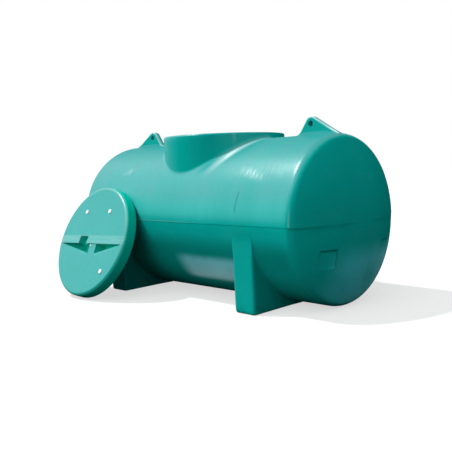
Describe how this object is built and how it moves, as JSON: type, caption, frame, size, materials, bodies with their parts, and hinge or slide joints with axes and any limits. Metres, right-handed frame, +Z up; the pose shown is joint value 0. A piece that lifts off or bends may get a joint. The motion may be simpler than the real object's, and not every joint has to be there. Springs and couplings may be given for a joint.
{
  "type": "horizontal water tank",
  "caption": "Horizontal round moulded water tank on cradle feet, with dished ends, a wide neck, lifting lugs and its lid leaning against the front.",
  "frame": {"origin": "on the ground, at the middle of the footprint of the tank and the lid that leans on it", "axes": "+X along the tank to the end with the outlet recesses, -Y to the front where the lid leans, +Z up through the neck"},
  "size_m": [2.2212, 1.3295, 1.107],
  "materials": {
    "teal_polyethylene": "satin moulded polyethylene, slightly wavy",
    "white_cap": "plain white plastic"
  },
  "bodies": {
    "root": {"upper_shell_left": "teal_polyethylene", "upper_shell_right": "teal_polyethylene", "lower_shell_left": "teal_polyethylene", "lower_shell_right": "teal_polyethylene", "left_end_upper": "teal_polyethylene", "left_end_lower": "teal_polyethylene", "right_end_upper": "teal_polyethylene", "right_end_lower": "teal_polyethylene", "neck_collar_left": "teal_polyethylene", "neck_collar_right": "teal_polyethylene", "lid_ledge": "teal_polyethylene", "left_lifting_lug": "teal_polyethylene", "right_lifting_lug": "teal_polyethylene", "left_front_foot": "teal_polyethylene", "left_back_foot": "teal_polyethylene", "right_front_foot": "teal_polyethylene", "right_back_foot": "teal_polyethylene", "lid_disc": "teal_polyethylene", "lid_grip_bar": "teal_polyethylene", "lid_caps": "white_cap"}
  },
  "joints": []
}
